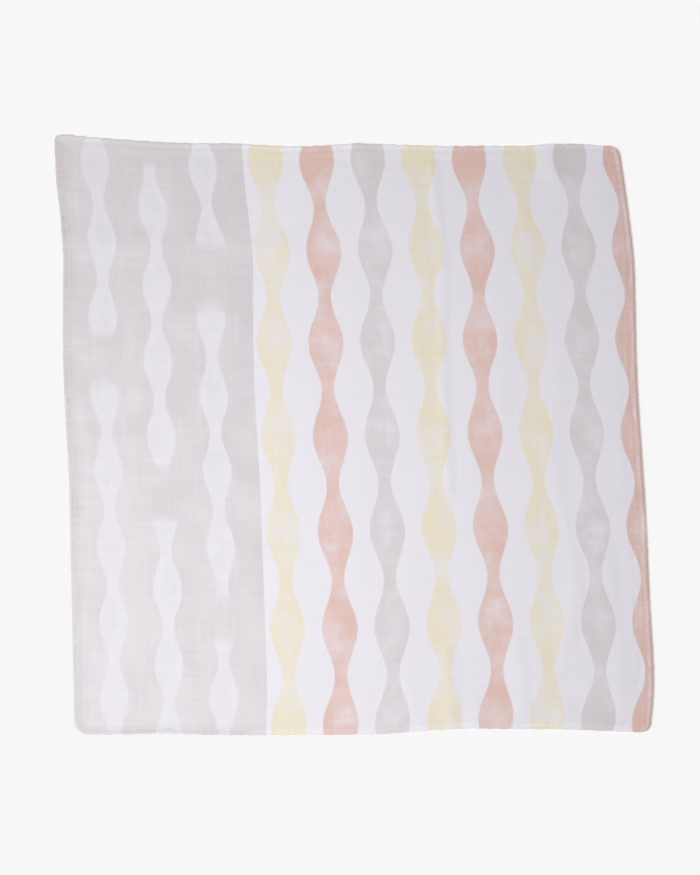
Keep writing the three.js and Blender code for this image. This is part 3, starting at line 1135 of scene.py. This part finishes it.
# %% Thread finish and the stitches' mesh
def thread_finish():
    """White cotton thread: two plies that wind round it, as a slanted sine in its own map.

    Along the right edge, where a stripe runs, the thread took up some of the stripe's ink.
    """
    finish = Finish("white_thread")
    uv = finish.node("ShaderNodeUVMap", {"uv_map": "cloth"})
    # The plies' winding also sets the colour: darker in its groove, as painted shade
    plies = ((uv.part("X") * PLY_TURNS + uv.part("Y")) * TURN).sin() * 0.5 + 0.5
    place = finish.node("ShaderNodeTexCoord", {}, {}, output="Object")
    soaked = (place.part("X") / MM).rise(*SOAKED_FROM) * SOAKED_MOST
    return finish.dress({
        "Base Color": finish.mix(soaked, finish.mix(plies, THREAD_DARK, THREAD_LIGHT), THREAD_INK),
        "Normal": finish.bump(plies * PLY_RISE),
        "Roughness": 0.75, "Specular IOR Level": 0.25,
    })


def stitches():
    """Both lines of stitches as one mesh, with (along, around) of each thread as its map."""
    points = np.concatenate([stitch_points(True), stitch_points(False)])
    count, each = points.shape[:2]
    faces = spindle_faces(count)
    ring_uv = np.stack(np.meshgrid(np.linspace(0, 1, RINGS), np.arange(SIDES) / SIDES,
                                   indexing="ij"), axis=-1).reshape(-1, 2)
    point_uv = np.tile(np.concatenate([ring_uv, [[0, 0], [1, 0]]]), (count, 1))
    corner_uv = point_uv[np.concatenate([np.ravel(face) for face in faces])]
    print("stitches:", count, "of", each, "points,", sum(len(face) - 2 for face in faces), "triangles")
    return make_piece("hem_stitches", points.reshape(-1, 3), faces, corner_uv, [thread_finish()])


seam = stitches()
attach(seam, "root")

# %% [markdown]
# ## The label
#
# A small bare tape hangs from the left hem on the back, and the cloth lies over it. It is
# another closed sheet, which keeps close under the cloth however that is creased.

# %% Label tape
LABEL_GAP = 0.05
LABEL_LINES_ACROSS = 25
LABEL_LINES_DOWN = 31
LABEL_SHARP = np.radians(60)
LABEL_EDGE = 0.7
RIM_SHARE = 0.05
RIB_PITCH = 0.45
CROSS_PITCH = 0.6
RIB_RISE = 0.03
# The tape runs from dark to light: partly its own tone, partly painted shade in the grooves between its
# ribs
TAPE_DARK = (0.80, 0.81, 0.84)
TAPE_LIGHT = (0.90, 0.90, 0.915)


def label_finish():
    """Close white tape: fine ribs along it, a firmer edge each side, and a faint unevenness."""
    finish = Finish("label_tape_weave").on_cloth()
    ribs = (finish.down * (TURN / RIB_PITCH)).sin() * 0.5 + 0.5
    cross = (finish.across * (TURN / CROSS_PITCH)).sin() * 0.5 + 0.5
    edge = 1 - (finish.down - LABEL_DOWN).abs().within(LABEL_LENGTH / 2 - LABEL_EDGE, 0.2)
    # The grooves between the ribs are painted darker, as painted shade; the noise and the firmer edge
    # are the tape's own tone
    tone = 0.25 + ribs * 0.25 + finish.noise("label") * 0.5 + edge * 0.35
    return finish.dress({
        "Base Color": finish.mix(tone, TAPE_DARK, TAPE_LIGHT),
        "Normal": finish.bump((ribs * cross + edge) * RIB_RISE),
        "Roughness": 0.6, "Specular IOR Level": 0.35,
    })


def label_tape():
    """The tape from the hem's flap inwards: its top just under the cloth, its ends rounded."""
    start = HEM_WIDTH + 2 * FLAP_FACE
    end = LABEL_ACROSS + LABEL_WIDTH / 2
    u = (1 - np.cos(np.linspace(0, np.pi, LABEL_LINES_ACROSS))) / 2
    v = (1 - np.cos(np.linspace(0, np.pi, LABEL_LINES_DOWN))) / 2
    across, down = np.meshgrid(start + u * (end - start), LABEL_DOWN + (v - 0.5) * LABEL_LENGTH)
    x, y = table_place(across, down)
    _, underside = cloth_faces(across, down)
    to_edge = np.minimum(LABEL_LENGTH / 2 - np.abs(down - LABEL_DOWN), end - across)
    thin = LABEL_THICKNESS / 2
    middle = np.maximum(underside - LABEL_GAP - thin, thin)
    half = thin * np.maximum(quarter_round(to_edge, thin), RIM_SHARE)
    top = np.stack([x, y, middle + half], axis=-1).reshape(-1, 3)
    under = np.stack([x, y, middle - half], axis=-1).reshape(-1, 3)
    quads = grid_quads(LABEL_LINES_DOWN, LABEL_LINES_ACROSS)
    number = np.arange(across.size).reshape(across.shape)
    rim = np.concatenate([number[:-1, 0], number[-1, :-1], number[:0:-1, -1], number[0, :0:-1]])
    ahead = np.roll(rim, -1)
    wall = np.stack([rim, rim + across.size, ahead + across.size, ahead], axis=-1)
    faces = np.concatenate([quads, quads[:, ::-1] + across.size, wall])
    place_uv = np.stack([across / CLOTH_WIDTH, down / CLOTH_LENGTH], axis=-1).reshape(-1, 2)
    corner_uv = np.tile(place_uv, (2, 1))[faces]
    return make_piece("label_tape", np.concatenate([top, under]), faces, corner_uv,
                      [label_finish()], sharp=LABEL_SHARP)


label = label_tape()
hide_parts("label")
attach(label, "root")

# %% [markdown]
# ## Floor, light and camera
#
# The cloth lies on an even pale floor under one soft lamp, low and to the near left, with soft
# light from all round. The floor glows by as much as the lamp's light lacks, so it stays one
# tone but still takes the cloth's shadow.

# %% Light
FILL = 0.45
LAMP_PLACE = np.array([-0.237, -0.146, 0.7])
LAMP_SIZE = 0.3
LAMP_SHARE = 0.342
WATTS_PER_SHARE = np.pi**2

scene = bpy.context.scene
scene.view_settings.view_transform = "Standard"

world = bpy.data.worlds.new("soft_room")
scene.world = world
world.use_nodes = True
world.node_tree.nodes["Background"].inputs["Color"].default_value = (1, 1, 1, 1)
world.node_tree.nodes["Background"].inputs["Strength"].default_value = FILL

lamp = add_object("soft_lamp", bpy.data.lights.new("soft_lamp", "AREA"))
lamp.data.shape = "DISK"
lamp.data.size = LAMP_SIZE
lamp.data.energy = LAMP_SHARE * WATTS_PER_SHARE
lamp.location = LAMP_PLACE
lamp.visible_camera = False

# %% Floor
FLOOR_HALF = 6.0
FLOOR_TONE = 0.926
FLOOR_MATT = 0.8

floor_corners = [(FLOOR_HALF * x, FLOOR_HALF * y, 0) for x, y in ((-1, -1), (1, -1), (1, 1), (-1, 1))]
floor = add_object("floor", bpy.data.meshes.new("floor"))
floor.data.from_pydata(floor_corners, [], [(0, 1, 2, 3)])

floor_finish = Finish("pale_floor")
where = floor_finish.node("ShaderNodeTexCoord", {}, {}, output="Object")
to_lamp = floor_finish.node("ShaderNodeVectorMath", {"operation": "DISTANCE"},
                            {0: where, 1: tuple(LAMP_PLACE)}, output="Value")
squared = to_lamp * to_lamp
lamplight = LAMP_SHARE * LAMP_PLACE[2] ** 2 / (squared * (squared + (LAMP_SIZE / 2) ** 2))
glow = FLOOR_TONE - FLOOR_MATT * (lamplight + FILL)
floor.data.materials.append(floor_finish.dress({
    "Emission Color": floor_finish.node("ShaderNodeCombineXYZ", {}, {0: glow, 1: glow, 2: glow}),
    "Emission Strength": 1.0,
    "Base Color": (FLOOR_MATT, FLOOR_MATT, FLOOR_MATT, 1),
    "Roughness": 1.0, "Specular IOR Level": 0.0,
}))

# %% Camera
PHOTO_HEIGHT_PX = 875
CLOTH_WIDTH_PX = 574.1
MM_PER_PX = CLOTH_WIDTH / CLOTH_WIDTH_PX
SENSOR = 36.0
CAMERA_HEIGHT = 1.5
CAMERA_OVER = (-0.00237, -0.00143)

camera = add_object("camera", bpy.data.cameras.new("camera"))
camera.data.sensor_width = SENSOR
camera.data.lens = SENSOR * CAMERA_HEIGHT / (PHOTO_HEIGHT_PX * MM_PER_PX * MM)
camera.location = (*CAMERA_OVER, CAMERA_HEIGHT)
scene.camera = camera
